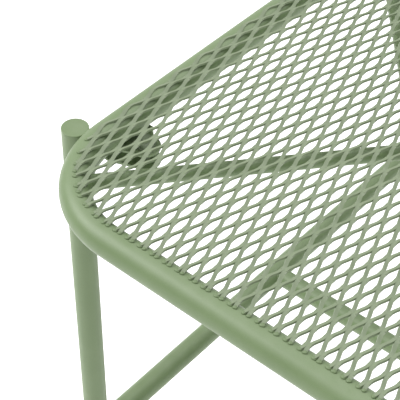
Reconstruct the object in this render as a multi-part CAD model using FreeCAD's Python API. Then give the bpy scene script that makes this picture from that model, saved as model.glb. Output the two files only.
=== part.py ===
import FreeCAD, Part
import math, os

os.makedirs("parts", exist_ok=True)
V = FreeCAD.Vector

# ---- driving dimensions, millimetres ------------------------------------
LEG_D = 25.0            # leg and end stretcher tube, outside diameter
TUBE_WALL = 1.5         # wall of legs, stretchers and bar
LEG_X = 729.0           # leg axis from the table's centre, along the length
LEG_Y = 332.5           # leg axis from the table's centre, across the width
Z_CAP = 738.0           # flat top of the leg caps
CAP_T = 1.5             # thickness of the cap's disc
RIM_D = 28.0            # tube of the top's rim
RIM_WALL = 1.5
RIM_X = LEG_X - LEG_D / 2 - RIM_D / 2 - 0.1   # rim centreline, half length
RIM_Y = LEG_Y + 80.0    # rim centreline, half width
RIM_R = 90.0            # corner bend radius at the centreline
Z_RIM = 735.5           # rim centreline height
MESH_T = 1.5            # expanded sheet
EDGE_X = 2.0            # ends of the sheet, outside the rim's centreline
EDGE_Y = 3.0            # sides of the sheet, inside the rim's centreline
BRACE_D = 14.0          # diagonal braces under the sheet
BRACE_WALL = 1.2
Z_BRACE = Z_RIM - 0.5
Z_STR = 294.0           # end stretcher and cross bar height
BAR_D = 22.0            # cross bar
BAR_Y = 317.5 - LEG_Y   # cross bar, a little off the middle of the stretchers
FOOT_H = 6.0            # glide under the tube's end
PLATE_T = 2.5           # bracket plate
BRK_H = 18.0            # bracket channel, outside height
BRK_W = 46.0            # bracket width along the rim
BRK_Y = 37.0            # bracket centre from the leg axis, towards the middle
BRK_NOSE = 49.0         # nose centre from the leg axis, towards the inside
BOLT_D = 8.0

shapes = {}


def put(name, shape):
    s = shape
    if not isinstance(s, Part.Compound) and s.ShapeType == "Compound" and len(s.Solids) == 1:
        s = s.Solids[0]
    shapes[name] = s


def cyl(p, q, r):
    p, q = V(*p), V(*q)
    d = q.sub(p)
    return Part.makeCylinder(r, d.Length, p, d)


def one(shape):
    # the largest solid of a boolean result
    return max(shape.Solids, key=lambda s: s.Volume)


def tube(p, q, d, wall, cutters=()):
    # a hollow tube from p to q, coped to the outside of every cutter solid
    p, q = V(*p), V(*q)
    s = cyl(p, q, d / 2).cut(cyl(p, q, d / 2 - wall))
    for c in cutters:
        s = one(s.cut(c))
    return one(s)


# ---- the rim: two U-shaped bends butted at the middle of the long sides --
def u_path(sx):
    x, y, r = RIM_X, RIM_Y, RIM_R
    k = r * (1 - math.sqrt(0.5))
    e = [Part.LineSegment(V(0, -y, Z_RIM), V(sx * (x - r), -y, Z_RIM)),
         Part.Arc(V(sx * (x - r), -y, Z_RIM), V(sx * (x - k), -y + k, Z_RIM), V(sx * x, -y + r, Z_RIM)),
         Part.LineSegment(V(sx * x, -y + r, Z_RIM), V(sx * x, y - r, Z_RIM)),
         Part.Arc(V(sx * x, y - r, Z_RIM), V(sx * (x - k), y - k, Z_RIM), V(sx * (x - r), y, Z_RIM)),
         Part.LineSegment(V(sx * (x - r), y, Z_RIM), V(0, y, Z_RIM))]
    return Part.Wire([g.toShape() for g in e])


def u_sweep(sx, r):
    c = Part.Wire([Part.Circle(V(0, -RIM_Y, Z_RIM), V(sx, 0, 0), r).toShape()])
    return u_path(sx).makePipeShell([c], True, False)


rim_solid = {}
for name, sx in (("top_rim_left", -1), ("top_rim_right", 1)):
    outer = u_sweep(sx, RIM_D / 2)
    inner = u_sweep(sx, RIM_D / 2 - RIM_WALL)
    print("rim", outer.ShapeType, outer.isValid(), round(outer.Volume))
    rim_solid[sx] = outer
    put(name, one(outer.cut(inner)))

# ---- the expanded sheet, held as a plain panel on the rim's crown --------
zm = Z_RIM + RIM_D / 2 + 0.02
x, y, r = RIM_X + EDGE_X, RIM_Y - EDGE_Y, RIM_R - 1.0
k = r * (1 - math.sqrt(0.5))
edges = [Part.LineSegment(V(-x + r, -y, zm), V(x - r, -y, zm)),
         Part.Arc(V(x - r, -y, zm), V(x - k, -y + k, zm), V(x, -y + r, zm)),
         Part.LineSegment(V(x, -y + r, zm), V(x, y - r, zm)),
         Part.Arc(V(x, y - r, zm), V(x - k, y - k, zm), V(x - r, y, zm)),
         Part.LineSegment(V(x - r, y, zm), V(-x + r, y, zm)),
         Part.Arc(V(-x + r, y, zm), V(-x + k, y - k, zm), V(-x, y - r, zm)),
         Part.LineSegment(V(-x, y - r, zm), V(-x, -y + r, zm)),
         Part.Arc(V(-x, -y + r, zm), V(-x + k, -y + k, zm), V(-x + r, -y, zm))]
put("mesh_top", Part.Face(Part.Wire([g.toShape() for g in edges])).extrude(V(0, 0, MESH_T)))

# ---- braces under the sheet ---------------------------------------------
rims = [rim_solid[-1], rim_solid[1]]
rail = tube((0, -RIM_Y, Z_BRACE), (0, RIM_Y, Z_BRACE), BRACE_D, BRACE_WALL, rims)
rail_o = cyl((0, -RIM_Y, Z_BRACE), (0, RIM_Y, Z_BRACE), BRACE_D / 2)
put("top_mid_rail", rail)
XC, YC = LEG_X - 242.5, LEG_Y - 177.5   # crossing of each pair of braces
TA = 0.857                              # run along the length per unit of width
for side, g in (("left", -1), ("right", 1)):
    # the right pair is the left pair turned half a turn about the centre

    def at(x, y):
        return (-g * x, -g * y, Z_BRACE)
    # the long brace runs from the outer corner to the middle of the other side
    yl = 9.0 - RIM_Y
    p, q = at(-XC + TA * (yl + YC), yl), at(-XC + TA * (RIM_Y + YC), RIM_Y)
    put("top_brace_long_%s" % side, tube(p, q, BRACE_D, BRACE_WALL, [*rims, rail_o]))
    long_o = cyl(p, q, BRACE_D / 2)
    c = at(-XC, -YC)
    a = at(-RIM_X, -YC + (RIM_X - XC) / TA)
    put("top_brace_outer_%s" % side, tube(a, c, BRACE_D, BRACE_WALL, [*rims, long_o]))
    b = at(-XC + TA * (RIM_Y - YC), -RIM_Y)
    put("top_brace_inner_%s" % side, tube(c, b, BRACE_D, BRACE_WALL, [*rims, long_o]))

# ---- legs, caps and feet --------------------------------------------------
corners = (("front_left", -1, -1), ("front_right", 1, -1), ("back_left", -1, 1), ("back_right", 1, 1))
ri = LEG_D / 2 - TUBE_WALL
leg_o = {}
for name, sx, sy in corners:
    X, Y = sx * LEG_X, sy * LEG_Y
    z0, z1 = FOOT_H, Z_CAP - CAP_T
    o = cyl((X, Y, z0), (X, Y, z1), LEG_D / 2)
    leg_o[(sx, sy)] = o
    put("leg_%s" % name, o.cut(cyl((X, Y, z0), (X, Y, z1), ri)))
    cap = cyl((X, Y, z1), (X, Y, Z_CAP), LEG_D / 2)
    e = [g for g in cap.Edges if abs(g.BoundBox.ZMin - Z_CAP) < 1e-6 and abs(g.BoundBox.ZMax - Z_CAP) < 1e-6]
    cap = cap.makeFillet(0.6, e)
    plug = cyl((X, Y, z1 - 8), (X, Y, z1), ri - 0.05).cut(cyl((X, Y, z1 - 8), (X, Y, z1 - 1.5), ri - 2))
    put("leg_cap_%s" % name, one(cap.fuse(plug).removeSplitter()))
    # glide: domed pad, flange and a ribbed plug inside the tube
    pad = cyl((X, Y, 0), (X, Y, FOOT_H), LEG_D / 2 + 0.0)
    e = [g for g in pad.Edges if abs(g.BoundBox.ZMax) < 1e-6 and abs(g.BoundBox.ZMin) < 1e-6]
    pad = pad.makeFillet(2.0, e)
    stem = cyl((X, Y, FOOT_H), (X, Y, FOOT_H + 22), ri - 0.6)
    for i in range(4):
        z = FOOT_H + 3 + 5 * i
        stem = stem.fuse(cyl((X, Y, z), (X, Y, z + 1.5), ri - 0.05))
    put("foot_%s" % name, one(pad.fuse(stem).removeSplitter()))

# ---- end stretchers and cross bar ------------------------------------------
str_o = {}
for side, sx in (("left", -1), ("right", 1)):
    p, q = (sx * LEG_X, -LEG_Y, Z_STR), (sx * LEG_X, LEG_Y, Z_STR)
    str_o[sx] = cyl(p, q, LEG_D / 2)
    put("end_stretcher_%s" % side, tube(p, q, LEG_D, TUBE_WALL, [leg_o[(sx, -1)], leg_o[(sx, 1)]]))
bar_o = cyl((-LEG_X, BAR_Y, Z_STR), (LEG_X, BAR_Y, Z_STR), BAR_D / 2)
put("cross_bar", tube((-LEG_X, BAR_Y, Z_STR), (LEG_X, BAR_Y, Z_STR), BAR_D, TUBE_WALL, [str_o[-1], str_o[1]]))

# ---- brackets that carry the top on the leg frames ------------------------
# a folded channel, open towards the end of the table's side, welded to the
# leg and reaching inside under the rim; its round nose takes one bolt
zt = Z_RIM - RIM_D / 2 - 0.1             # top face of the bracket, under the rim


def slab(z0, z1, sx, sy, grow=0.0):
    # plan outline: a base along the rim and a round nose towards the inside
    X, Y = sx * LEG_X, sy * LEG_Y
    w, n, rn = BRK_W / 2 + grow, BRK_NOSE, 14.0 + grow
    yc = Y - sy * BRK_Y
    x0 = X - sx * (8.0 - grow)
    pl = [V(x0, yc - w, z0), V(X - sx * 26.0, yc - w, z0), V(X - sx * n, yc - rn, z0)]
    pr = [V(X - sx * n, yc + rn, z0), V(X - sx * 26.0, yc + w, z0), V(x0, yc + w, z0)]
    tip = V(X - sx * (n + rn), yc, z0)
    ed = [Part.LineSegment(pl[0], pl[1]), Part.LineSegment(pl[1], pl[2]), Part.Arc(pl[2], tip, pr[0]),
          Part.LineSegment(pr[0], pr[1]), Part.LineSegment(pr[1], pr[2]), Part.LineSegment(pr[2], pl[0])]
    return Part.Face(Part.Wire([g.toShape() for g in ed])).extrude(V(0, 0, z1 - z0))


bolts, washers, nuts = [], [], []
for name, sx, sy in corners:
    X, Y = sx * LEG_X, sy * LEG_Y
    yc = Y - sy * BRK_Y
    top = slab(zt - PLATE_T, zt, sx, sy)
    bot = slab(zt - BRK_H, zt - BRK_H + PLATE_T, sx, sy)
    # web on the far side of the channel, away from the leg
    wy = yc - sy * (BRK_W / 2 - PLATE_T)
    web = Part.makeBox(30.0, PLATE_T, BRK_H, V(min(X - sx * 8.0, X - sx * 38.0), min(wy, wy - sy * PLATE_T), zt - BRK_H))
    # a strap from the channel round to the leg
    s0, s1 = Y - sy * 6.0, yc + sy * (BRK_W / 2 - 3.0)
    strap = Part.makeBox(12.0, abs(s1 - s0), BRK_H, V(min(X - sx * 1.0, X - sx * 13.0), min(s0, s1), zt - BRK_H))
    b = top.fuse([bot, web, strap]).cut(leg_o[(sx, sy)])
    bx, by = X - sx * (BRK_NOSE + 1.0), yc
    b = b.cut(cyl((bx, by, zt - 40), (bx, by, zt + 5), BOLT_D / 2 + 0.25))
    put("leg_bracket_%s" % name, one(b.removeSplitter()))
    # bolt from below, with a washer under its head and a flange nut on top
    zb = zt - BRK_H - 1.0
    head = Part.Face(Part.makePolygon([V(bx + 7.5 * math.cos(math.pi / 3 * i), by + 7.5 * math.sin(math.pi / 3 * i), zb) for i in range(7)])).extrude(V(0, 0, -3.0))
    bolts.append(one(head.fuse(cyl((bx, by, zb), (bx, by, zt + 9.6), BOLT_D / 2)).removeSplitter()))
    washers.append(cyl((bx, by, zb), (bx, by, zt - BRK_H), 8.5).cut(cyl((bx, by, zb - 1), (bx, by, zt), BOLT_D / 2 + 0.2)))
    zn = zt
    hexn = Part.Face(Part.makePolygon([V(bx + 7.5 * math.cos(math.pi / 3 * i), by + 7.5 * math.sin(math.pi / 3 * i), zn) for i in range(7)])).extrude(V(0, 0, 7.5))
    fl = cyl((bx, by, zn), (bx, by, zn + 1.5), 8.5)
    nuts.append(one(hexn.fuse(fl).cut(cyl((bx, by, zn - 1), (bx, by, zn + 12), BOLT_D / 2 + 0.02)).removeSplitter()))
put("bracket_bolts", Part.Compound(bolts))
put("bracket_washers", Part.Compound(washers))
put("bracket_nuts", Part.Compound(nuts))

for name, s in shapes.items():
    ok = s.isValid()
    print("%-28s solids %d  volume %.0f  %s" % (name, len(s.Solids), s.Volume, "ok" if ok else "INVALID"))
    s.exportStep("parts/%s.step" % name)
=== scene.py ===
import bpy
import math
import random
from mathutils import Vector, Matrix


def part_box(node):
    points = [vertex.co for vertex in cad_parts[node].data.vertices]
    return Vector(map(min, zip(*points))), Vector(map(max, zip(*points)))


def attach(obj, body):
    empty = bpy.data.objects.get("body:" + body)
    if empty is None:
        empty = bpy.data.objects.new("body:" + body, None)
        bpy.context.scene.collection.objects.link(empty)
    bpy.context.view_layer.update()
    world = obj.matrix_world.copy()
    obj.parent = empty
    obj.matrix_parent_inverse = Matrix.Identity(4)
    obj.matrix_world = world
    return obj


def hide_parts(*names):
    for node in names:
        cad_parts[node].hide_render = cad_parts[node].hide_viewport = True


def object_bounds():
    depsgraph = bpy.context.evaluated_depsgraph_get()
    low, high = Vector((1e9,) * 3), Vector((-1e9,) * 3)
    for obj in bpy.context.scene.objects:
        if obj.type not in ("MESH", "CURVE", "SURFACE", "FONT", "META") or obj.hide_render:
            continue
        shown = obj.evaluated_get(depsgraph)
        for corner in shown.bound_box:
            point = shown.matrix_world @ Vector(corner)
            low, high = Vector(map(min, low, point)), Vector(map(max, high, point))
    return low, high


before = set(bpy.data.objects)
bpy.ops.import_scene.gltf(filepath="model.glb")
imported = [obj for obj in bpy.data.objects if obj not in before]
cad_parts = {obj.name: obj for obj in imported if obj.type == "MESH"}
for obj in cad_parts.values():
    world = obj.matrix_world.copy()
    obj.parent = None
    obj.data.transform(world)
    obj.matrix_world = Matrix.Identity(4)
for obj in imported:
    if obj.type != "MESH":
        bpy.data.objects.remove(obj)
cad_box = [list(v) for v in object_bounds()]
rnd = random.Random(7)

# ---------------------------------------------------------------- sizes, metres
lo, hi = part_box("leg_front_left")
LEG = Vector(((lo[0] + hi[0]) / 2, (lo[1] + hi[1]) / 2, 0))
LEG_R = (hi[0] - lo[0]) / 2
D = 2 * LEG_R
Z_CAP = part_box("leg_cap_front_left")[1][2]
mlo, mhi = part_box("mesh_top")
MX, MY = mhi[0], mhi[1]
M_TOP, M_BOT = mhi[2], mlo[2]
RIM_R = 0.014
RIM_X, RIM_Y, RIM_C = MX - 0.002, MY + 0.003, 0.090
Z_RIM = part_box("top_rim_left")[1][2] - RIM_R
Z_STR = 0.294
BAR_R = 0.011
BRACE_R = 0.007
Z_BRACE = Z_RIM - 0.0005


# ---------------------------------------------------------------- materials
def new_mat(name):
    m = bpy.data.materials.new(name)
    m.use_nodes = True
    nt = m.node_tree
    for n in list(nt.nodes):
        nt.nodes.remove(n)
    out = nt.nodes.new("ShaderNodeOutputMaterial")
    b = nt.nodes.new("ShaderNodeBsdfPrincipled")
    nt.links.new(b.outputs[0], out.inputs[0])
    return m, nt, b


def node(nt, kind, **kw):
    n = nt.nodes.new(kind)
    for k, v in kw.items():
        setattr(n, k, v)
    return n


def coat(name, dark, light, rough=(0.36, 0.5), peel=900.0, bump=0.10, painted_top_light=0.26, spec=0.42):
    """Powder coat: two tones of the colour in soft clouds, a fine orange peel,
    duller upper faces with painted top light in paler, greyer patches, and slightly polished, paler
    spots."""
    m, nt, b = new_mat(name)
    tc = node(nt, "ShaderNodeTexCoord")
    cloud = node(nt, "ShaderNodeTexNoise")
    cloud.inputs["Scale"].default_value = 14.0
    cloud.inputs["Detail"].default_value = 4.0
    cloud.inputs["Roughness"].default_value = 0.6
    nt.links.new(tc.outputs["Object"], cloud.inputs["Vector"])
    ramp = node(nt, "ShaderNodeValToRGB")
    ramp.color_ramp.elements[0].position = 0.32
    ramp.color_ramp.elements[0].color = (*dark, 1)
    ramp.color_ramp.elements[1].position = 0.68
    ramp.color_ramp.elements[1].color = (*light, 1)
    nt.links.new(cloud.outputs["Fac"], ramp.inputs["Fac"])
    # speckle of the powder grains
    grain = node(nt, "ShaderNodeTexNoise")
    grain.inputs["Scale"].default_value = peel * 1.6
    grain.inputs["Detail"].default_value = 2.0
    nt.links.new(tc.outputs["Object"], grain.inputs["Vector"])
    gr = node(nt, "ShaderNodeMapRange")
    gr.inputs["From Min"].default_value = 0.3
    gr.inputs["From Max"].default_value = 0.7
    gr.inputs["To Min"].default_value = 0.955
    gr.inputs["To Max"].default_value = 1.045
    nt.links.new(grain.outputs["Fac"], gr.inputs["Value"])
    mul = node(nt, "ShaderNodeVectorMath", operation="SCALE")
    nt.links.new(ramp.outputs["Color"], mul.inputs[0])
    nt.links.new(gr.outputs["Result"], mul.inputs["Scale"])
    # faces that look up are blended towards a pale grey in noisy patches: painted top light
    geo = node(nt, "ShaderNodeNewGeometry")
    sep = node(nt, "ShaderNodeSeparateXYZ")
    nt.links.new(geo.outputs["Normal"], sep.inputs[0])
    up = node(nt, "ShaderNodeMapRange")
    up.inputs["From Min"].default_value = 0.55
    up.inputs["From Max"].default_value = 1.0
    up.inputs["To Min"].default_value = 0.0
    up.inputs["To Max"].default_value = painted_top_light
    nt.links.new(sep.outputs["Z"], up.inputs["Value"])
    dn = node(nt, "ShaderNodeTexNoise")
    dn.inputs["Scale"].default_value = 60.0
    dn.inputs["Detail"].default_value = 6.0
    nt.links.new(tc.outputs["Object"], dn.inputs["Vector"])
    top_light_mask = node(nt, "ShaderNodeMath", operation="MULTIPLY")
    nt.links.new(up.outputs["Result"], top_light_mask.inputs[0])
    nt.links.new(dn.outputs["Fac"], top_light_mask.inputs[1])
    mix = node(nt, "ShaderNodeMix", data_type="RGBA")
    nt.links.new(top_light_mask.outputs[0], mix.inputs["Factor"])
    nt.links.new(mul.outputs[0], mix.inputs["A"])
    # pale grey of the painted top light on upward faces
    mix.inputs["B"].default_value = (0.36, 0.39, 0.32, 1)
    nt.links.new(mix.outputs["Result"], b.inputs["Base Color"])
    # roughness in the same clouds, rougher where the noise of the painted top light patches is high
    rr = node(nt, "ShaderNodeMapRange")
    rr.inputs["To Min"].default_value = rough[0]
    rr.inputs["To Max"].default_value = rough[1]
    nt.links.new(dn.outputs["Fac"], rr.inputs["Value"])
    nt.links.new(rr.outputs["Result"], b.inputs["Roughness"])
    # orange peel
    fine = node(nt, "ShaderNodeTexNoise")
    fine.inputs["Scale"].default_value = peel
    fine.inputs["Detail"].default_value = 3.0
    nt.links.new(tc.outputs["Object"], fine.inputs["Vector"])
    bp = node(nt, "ShaderNodeBump")
    bp.inputs["Strength"].default_value = bump
    bp.inputs["Distance"].default_value = 0.0004
    nt.links.new(fine.outputs["Fac"], bp.inputs["Height"])
    nt.links.new(bp.outputs[0], b.inputs["Normal"])
    b.inputs["Specular IOR Level"].default_value = spec
    return m


SAGE_D, SAGE_L = (0.145, 0.208, 0.096), (0.166, 0.232, 0.112)
green = coat("sage_powder_coat", SAGE_D, SAGE_L)
# the upward-facing sheet gets a paler, greyer copy of the sage coat: painted top light and sheen
sheet_mat_painted_top_light = coat("sage_powder_coat_mesh_painted_top_light", (0.172, 0.220, 0.128), (0.196, 0.246, 0.148), rough=(0.38, 0.52), peel=1400.0, bump=0.08)
weld_mat = coat("sage_coated_weld", (0.135, 0.192, 0.090), (0.160, 0.222, 0.108), rough=(0.42, 0.6), peel=1500.0, bump=0.35, painted_top_light=0.1)
bolt_mat = coat("coated_fastener", (0.155, 0.200, 0.125), (0.200, 0.245, 0.165), rough=(0.30, 0.45), peel=1100.0, bump=0.06, painted_top_light=0.1)
foot_mat = coat("moulded_glide", (0.10, 0.15, 0.075), (0.13, 0.18, 0.095), rough=(0.55, 0.7), peel=2200.0, bump=0.12, painted_top_light=0.0, spec=0.4)

for name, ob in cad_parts.items():
    if ob.type != "MESH":
        continue
    m = green
    if name.startswith("foot_"):
        m = foot_mat
    elif name.startswith("bracket_"):
        m = bolt_mat
    if ob.material_slots:
        for s in ob.material_slots:
            s.material = m
    else:
        ob.data.materials.append(m)


def new_obj(name, verts, faces, mat, smooth=True):
    me = bpy.data.meshes.new(name)
    me.from_pydata([tuple(v) for v in verts], [], faces)
    me.validate()
    me.update()
    if smooth:
        me.polygons.foreach_set("use_smooth", [True] * len(me.polygons))
    ob = bpy.data.objects.new(name, me)
    bpy.context.scene.collection.objects.link(ob)
    me.materials.append(mat)
    return ob


# ---------------------------------------------------------------- expanded sheet
PX = 0.528 * D          # short pitch, along the length
PY = 1.288 * D          # long pitch, across the width
SW = 0.0033             # strand width
ST = 0.0016             # sheet thickness
TILT = math.radians(22)
PH_X, PH_Y = LEG.x + 0.69149, LEG.y + 0.31509   # phase of the lattice
CORNER = RIM_C - 0.001


def inside(x, y):
    ax, ay = abs(x), abs(y)
    if ax > MX or ay > MY:
        return False
    cx, cy = MX - CORNER, MY - CORNER
    if ax > cx and ay > cy:
        return (ax - cx) ** 2 + (ay - cy) ** 2 <= CORNER ** 2
    return True


def sag(x, y):
    # the sheet hangs a little between rim, rail and braces
    u = min(MX - abs(x), abs(x)) / (MX / 2)
    v = (MY - abs(y)) / MY
    s = max(0.0, min(1.0, u * 2.2)) * max(0.0, min(1.0, v * 2.4))
    return -0.0012 * s * s * (3 - 2 * s)


SEG = 6


def strand_path(x0, y0, sgn):
    """Centre line from one bond to the next, half a pitch over and up."""
    pts = []
    a = PX / 2 - SW * 0.92
    for i in range(SEG + 1):
        t = i / SEG
        # straight along the bond, then a long slope between the bonds
        u = min(1.0, max(0.0, (t - 0.15) / 0.70))
        s = 0.35 * u + 0.65 * (u * u * (3 - 2 * u))
        pts.append((x0 + sgn * (SW * 0.46 + a * s), y0 + t * PY / 2, t))
    return pts


ends = []               # where a cut strand lands on the rim


SECTION = ((-1, -1), (1, -1), (1, 1), (-1, 1))   # sheared strands keep square edges


def build_sheet():
    """The sheet in three lengths, left, middle and right, which meet edge to edge."""
    lengths = [([], []), ([], []), ([], [])]
    nx, ny = int(MX / PX) + 2, int(MY / (PY / 2)) + 2
    zc = M_TOP - 0.00135

    def emit(pts, sgn, c0, c1):
        third = 0 if pts[0][0] < -MX / 3 else (1 if pts[0][0] < MX / 3 else 2)
        verts, faces = lengths[third]
        base = len(verts)
        n = len(pts)
        for i, (x, y, t) in enumerate(pts):
            if n > 1:
                p, q = pts[max(0, i - 1)], pts[min(n - 1, i + 1)]
                d = Vector((q[0] - p[0], q[1] - p[1], 0)).normalized()
            side = Vector((d.y, -d.x, 0))
            # the strand is twisted between its bonds, as the shearing leaves it
            w = math.sin(math.pi * min(1, max(0, t)))
            tw = TILT * (0.35 + 0.65 * w) * sgn
            sv = side * math.cos(tw) + Vector((0, 0, math.sin(tw)))
            nv = Vector((0, 0, math.cos(tw))) - side * math.sin(tw)
            c = Vector((x, y, zc + sag(x, y)))
            hw, ht = SW / 2, ST / 2
            for a, b in SECTION:
                v = c + sv * (a * hw) + nv * (b * ht)
                v.z = min(v.z, M_TOP - 0.00002)
                verts.append(v)
        for i in range(n - 1):
            for k in range(4):
                a0, a1 = base + i * 4 + k, base + i * 4 + (k + 1) % 4
                b0, b1 = a0 + 4, base + (i + 1) * 4 + (k + 1) % 4
                faces.append((a0, a1, b1, b0))
        if c0:
            faces.append(tuple(base + k for k in range(3, -1, -1)))
        if c1:
            faces.append(tuple(base + (n - 1) * 4 + k for k in range(4)))

    for j in range(-ny, ny + 1):
        y0 = j * PY / 2 + PH_Y
        for i in range(-nx, nx + 1):
            x0 = i * PX + PH_X + (PX / 2 if j % 2 else 0)
            for sgn in (-1, 1):
                full = strand_path(x0, y0, sgn)
                ins = [inside(p[0], p[1]) for p in full]
                if not any(ins):
                    continue
                if all(ins):
                    emit(full, sgn, True, True)
                    continue
                cut = []
                for k in range(len(full)):
                    if k and ins[k] != ins[k - 1]:
                        a, b = full[k - 1], full[k]
                        for _ in range(12):
                            m = tuple((a[r] + b[r]) / 2 for r in range(3))
                            if inside(m[0], m[1]) == ins[k - 1]:
                                a = m
                            else:
                                b = m
                        cut.append(a if ins[k - 1] else b)
                        ends.append(cut[-1])
                    if ins[k]:
                        cut.append(full[k])
                if len(cut) > 1:
                    emit(cut, sgn, True, True)
    return [new_obj("expanded_sheet_" + n, v, f, sheet_mat_painted_top_light, smooth=False) for n, (v, f) in zip(("left", "middle", "right"), lengths)]


for sheet in build_sheet():
    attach(sheet, "root")
    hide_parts("mesh_top")


# ---------------------------------------------------------------- weld beads
def bead(name, pts, r=0.0012, closed=True, seg=8, ripple=0.22, every=0.0022):
    """A weld bead: a rope of overlapping ripples along pts."""
    P = [Vector(p) for p in pts]
    n = len(P)
    # resample evenly
    L = [0.0]
    m = n if closed else n - 1
    for i in range(m):
        L.append(L[-1] + (P[(i + 1) % n] - P[i]).length)
    total = L[-1]
    k = max(8, int(total / (every / 3)))
    out = []
    idx = 0
    for a in range(k if closed else k + 1):
        s = total * a / k
        while idx < m - 1 and L[idx + 1] < s:
            idx += 1
        t = (s - L[idx]) / max(1e-9, L[idx + 1] - L[idx])
        out.append(P[idx % n].lerp(P[(idx + 1) % n], t))
    N = len(out)
    verts, faces = [], []
    up = Vector((0.13, 0.21, 0.97)).normalized()
    for i, p in enumerate(out):
        a = out[(i - 1) % N] if closed or i else out[0]
        b = out[(i + 1) % N] if closed or i < N - 1 else out[-1]
        d = (b - a).normalized()
        u = d.cross(up).normalized()
        v = d.cross(u)
        rr = r * (1 + ripple * math.sin(2 * math.pi * i / 3.0 + 0.3) + rnd.uniform(-0.06, 0.06))
        if not closed and i in (0, N - 1):
            rr *= 0.35
        for s in range(seg):
            an = 2 * math.pi * s / seg
            verts.append(p + (u * math.cos(an) + v * math.sin(an)) * rr)
    rings = N if closed else N - 1
    for i in range(rings):
        for s in range(seg):
            a0 = i * seg + s
            a1 = i * seg + (s + 1) % seg
            b0 = ((i + 1) % N) * seg + s
            b1 = ((i + 1) % N) * seg + (s + 1) % seg
            faces.append((a0, b0, b1, a1))
    if not closed:
        faces.append(tuple(range(seg)))
        faces.append(tuple((N - 1) * seg + s for s in range(seg - 1, -1, -1)))
    return verts, faces


def saddle(p, q, r, m0, md, R, n=48):
    """Where the tube p to q, of radius r, meets the tube about m0 along md, of radius R, at its q end."""
    p, q, m0, md = Vector(p), Vector(q), Vector(m0), Vector(md).normalized()
    d = (q - p).normalized()
    u = d.orthogonal().normalized()
    v = d.cross(u)
    pts = []
    for i in range(n):
        an = 2 * math.pi * i / n
        s = p + (u * math.cos(an) + v * math.sin(an)) * r
        w = s - m0
        wd, dd = w - md * w.dot(md), d - md * d.dot(md)
        A, B, C = dd.dot(dd), 2 * wd.dot(dd), wd.dot(wd) - R * R
        disc = B * B - 4 * A * C
        if disc < 0:
            disc = 0
        t = (-B - math.sqrt(disc)) / (2 * A)
        pts.append(s + d * t)
    return pts


beads = {}


def add_bead(group, vf):
    verts, faces = beads.setdefault(group, ([], []))
    o = len(verts)
    verts.extend(vf[0])
    faces.extend(tuple(o + k for k in f) for f in vf[1])


# the sheet is tacked to the rim at the end of every strand: one low nugget each
nv, nf = [], []
for x, y, t in ends:
    o = len(nv)
    w = rnd.uniform(0.0020, 0.0027)
    h = rnd.uniform(0.0009, 0.0012)
    an0 = rnd.uniform(0, math.pi)
    zc = M_TOP - 0.00025 - h
    for i, (rr, zz) in enumerate(((0.35, 0.94), (0.72, 0.70), (0.95, 0.30), (1.0, -0.15), (0.9, -0.75))):
        for k in range(10):
            an = an0 + 2 * math.pi * k / 10
            q = rr * w * (1 + 0.09 * math.sin(3 * an + an0))
            nv.append(Vector((x + q * math.cos(an), y + q * 0.86 * math.sin(an), zc + h * zz)))
    for i in range(4):
        for k in range(10):
            nf.append((o + i * 10 + k, o + (i + 1) * 10 + k, o + (i + 1) * 10 + (k + 1) % 10, o + i * 10 + (k + 1) % 10))
    nf.append(tuple(o + k for k in range(10)))
    nf.append(tuple(o + 40 + k for k in range(9, -1, -1)))
beads["welds_sheet"] = (nv, nf)

LX, LY = abs(LEG.x), abs(LEG.y)
XC, YC = LX - 0.2425, LY - 0.1775   # crossing of the left pair of braces
TA = 0.857
BAR_Y = 0.3175 - LY
for sx in (-1, 1):
    for sy in (-1, 1):
        # end stretcher on the leg
        add_bead("welds_leg_frames", bead("", saddle((sx * LX, 0, Z_STR), (sx * LX, sy * LY, Z_STR), LEG_R, (sx * LX, sy * LY, 0), (0, 0, 1), LEG_R * 1.002), r=0.0013))
    add_bead("welds_cross_bar", bead("", saddle((0, BAR_Y, Z_STR), (sx * LX, BAR_Y, Z_STR), BAR_R, (sx * LX, 0, Z_STR), (0, 1, 0), LEG_R * 1.002), r=0.0013))
for h in (1, -1):               # the right set is the left one turned half a turn
    c = Vector((-h * XC, -h * YC, Z_BRACE))
    oe = Vector((-h * RIM_X, h * ((RIM_X - XC) / TA - YC), Z_BRACE))
    ie = Vector((-h * (XC - TA * (RIM_Y - YC)), -h * RIM_Y, Z_BRACE))
    ld = Vector((TA, 1, 0))
    for e in (oe, ie):
        add_bead("welds_top_braces", bead("", saddle(e, c, BRACE_R, c, ld, BRACE_R * 1.003), r=0.0011))
    add_bead("welds_top_braces", bead("", saddle(c, oe, BRACE_R, (-h * RIM_X, 0, Z_RIM), (0, 1, 0), RIM_R * 1.002), r=0.0011))
    add_bead("welds_top_braces", bead("", saddle(c, ie, BRACE_R, (0, -h * RIM_Y, Z_RIM), (1, 0, 0), RIM_R * 1.002), r=0.0011))
for sy in (-1, 1):
    add_bead("welds_top_braces", bead("", saddle((0, 0, Z_BRACE), (0, sy * RIM_Y, Z_BRACE), BRACE_R, (0, sy * RIM_Y, Z_RIM), (1, 0, 0), RIM_R * 1.002), r=0.0011))
# the rim's two butt welds, ground nearly flush
for sy in (-1, 1):
    ring = [(0, sy * RIM_Y + RIM_R * 0.985 * math.cos(2 * math.pi * i / 64), Z_RIM + RIM_R * 0.985 * math.sin(2 * math.pi * i / 64)) for i in range(64)]
    add_bead("welds_rim", bead("", ring, r=0.00035, ripple=0.1))
BX, BY = cad_box[1][0], cad_box[1][1]
for g, (v, f) in beads.items():
    v = [Vector((max(-BX, min(BX, p[0])), max(-BY, min(BY, p[1])), p[2])) for p in v]
    ob = new_obj(g, v, f, weld_mat)
    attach(ob, "root")

# ---------------------------------------------------------------- floor, light, camera
def stage_mat(name, color, emit=0.0):
    m, nt, b = new_mat(name)
    b.inputs["Base Color"].default_value = (*color, 1)
    b.inputs["Roughness"].default_value = 0.9
    b.inputs["Specular IOR Level"].default_value = 0.1
    if emit:
        b.inputs["Emission Color"].default_value = (1, 1, 1, 1)
        b.inputs["Emission Strength"].default_value = emit
    return m


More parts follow.
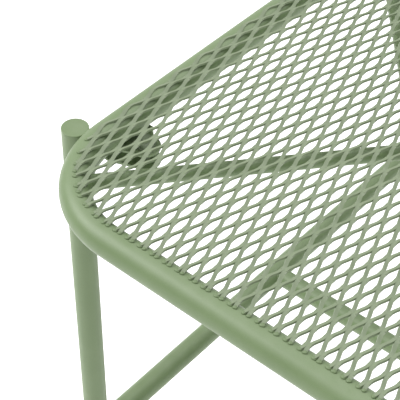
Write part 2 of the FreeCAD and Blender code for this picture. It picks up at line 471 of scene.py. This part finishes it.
fl = new_obj("floor", [(-15, -15, -0.0005), (15, -15, -0.0005), (15, 15, -0.0005), (-15, 15, -0.0005)], [(0, 1, 2, 3)], stage_mat("pale_floor", (0.9, 0.9, 0.9), 0.50), smooth=False)

w = bpy.data.worlds.new("studio")
bpy.context.scene.world = w
w.use_nodes = True
w.node_tree.nodes["Background"].inputs[0].default_value = (1, 1, 1, 1)
w.node_tree.nodes["Background"].inputs[1].default_value = 0.50


def area(name, loc, target, size, power):
    l = bpy.data.lights.new(name, "AREA")
    l.shape = "SQUARE"
    l.size = size
    l.energy = power
    o = bpy.data.objects.new(name, l)
    bpy.context.scene.collection.objects.link(o)
    o.location = loc
    o.rotation_euler = (Vector(target) - Vector(loc)).to_track_quat("-Z", "Y").to_euler()
    return o


area("key", (-3.2, -1.6, 3.6), (0, 0, 0.6), 2.6, 160)
area("fill", (2.8, -2.6, 3.2), (0, 0, 0.6), 3.2, 12)
area("top", (0.2, 1.2, 4.4), (0, 0, 0.6), 3.6, 92)

F_PX = 1322.0
PITCH, YAW, ROLL = math.radians(44.0), math.radians(40.2), math.radians(0.75)
eye = Vector((LEG.x + 25.97 * D, LEG.y - 23.90 * D, Z_CAP + 30.36 * D))
right = Vector((math.cos(YAW), math.sin(YAW), 0))
fwd_h = Vector((-math.sin(YAW), math.cos(YAW), 0))
fwd = fwd_h * math.cos(PITCH) - Vector((0, 0, 1)) * math.sin(PITCH)
down = -fwd_h * math.sin(PITCH) - Vector((0, 0, 1)) * math.cos(PITCH)
r2 = right * math.cos(ROLL) - down * math.sin(ROLL)
d2 = right * math.sin(ROLL) + down * math.cos(ROLL)
cam = bpy.data.cameras.new("camera")
cam.sensor_width = 36.0
cam.lens = 36.0 * F_PX / 400.0
co = bpy.data.objects.new("camera", cam)
bpy.context.scene.collection.objects.link(co)
co.matrix_world = Matrix(((r2.x, -d2.x, -fwd.x, eye.x), (r2.y, -d2.y, -fwd.y, eye.y), (r2.z, -d2.z, -fwd.z, eye.z), (0, 0, 0, 1)))
cam.clip_start, cam.clip_end = 0.05, 60
bpy.context.scene.camera = co
bpy.context.scene.view_settings.view_transform = "Standard"
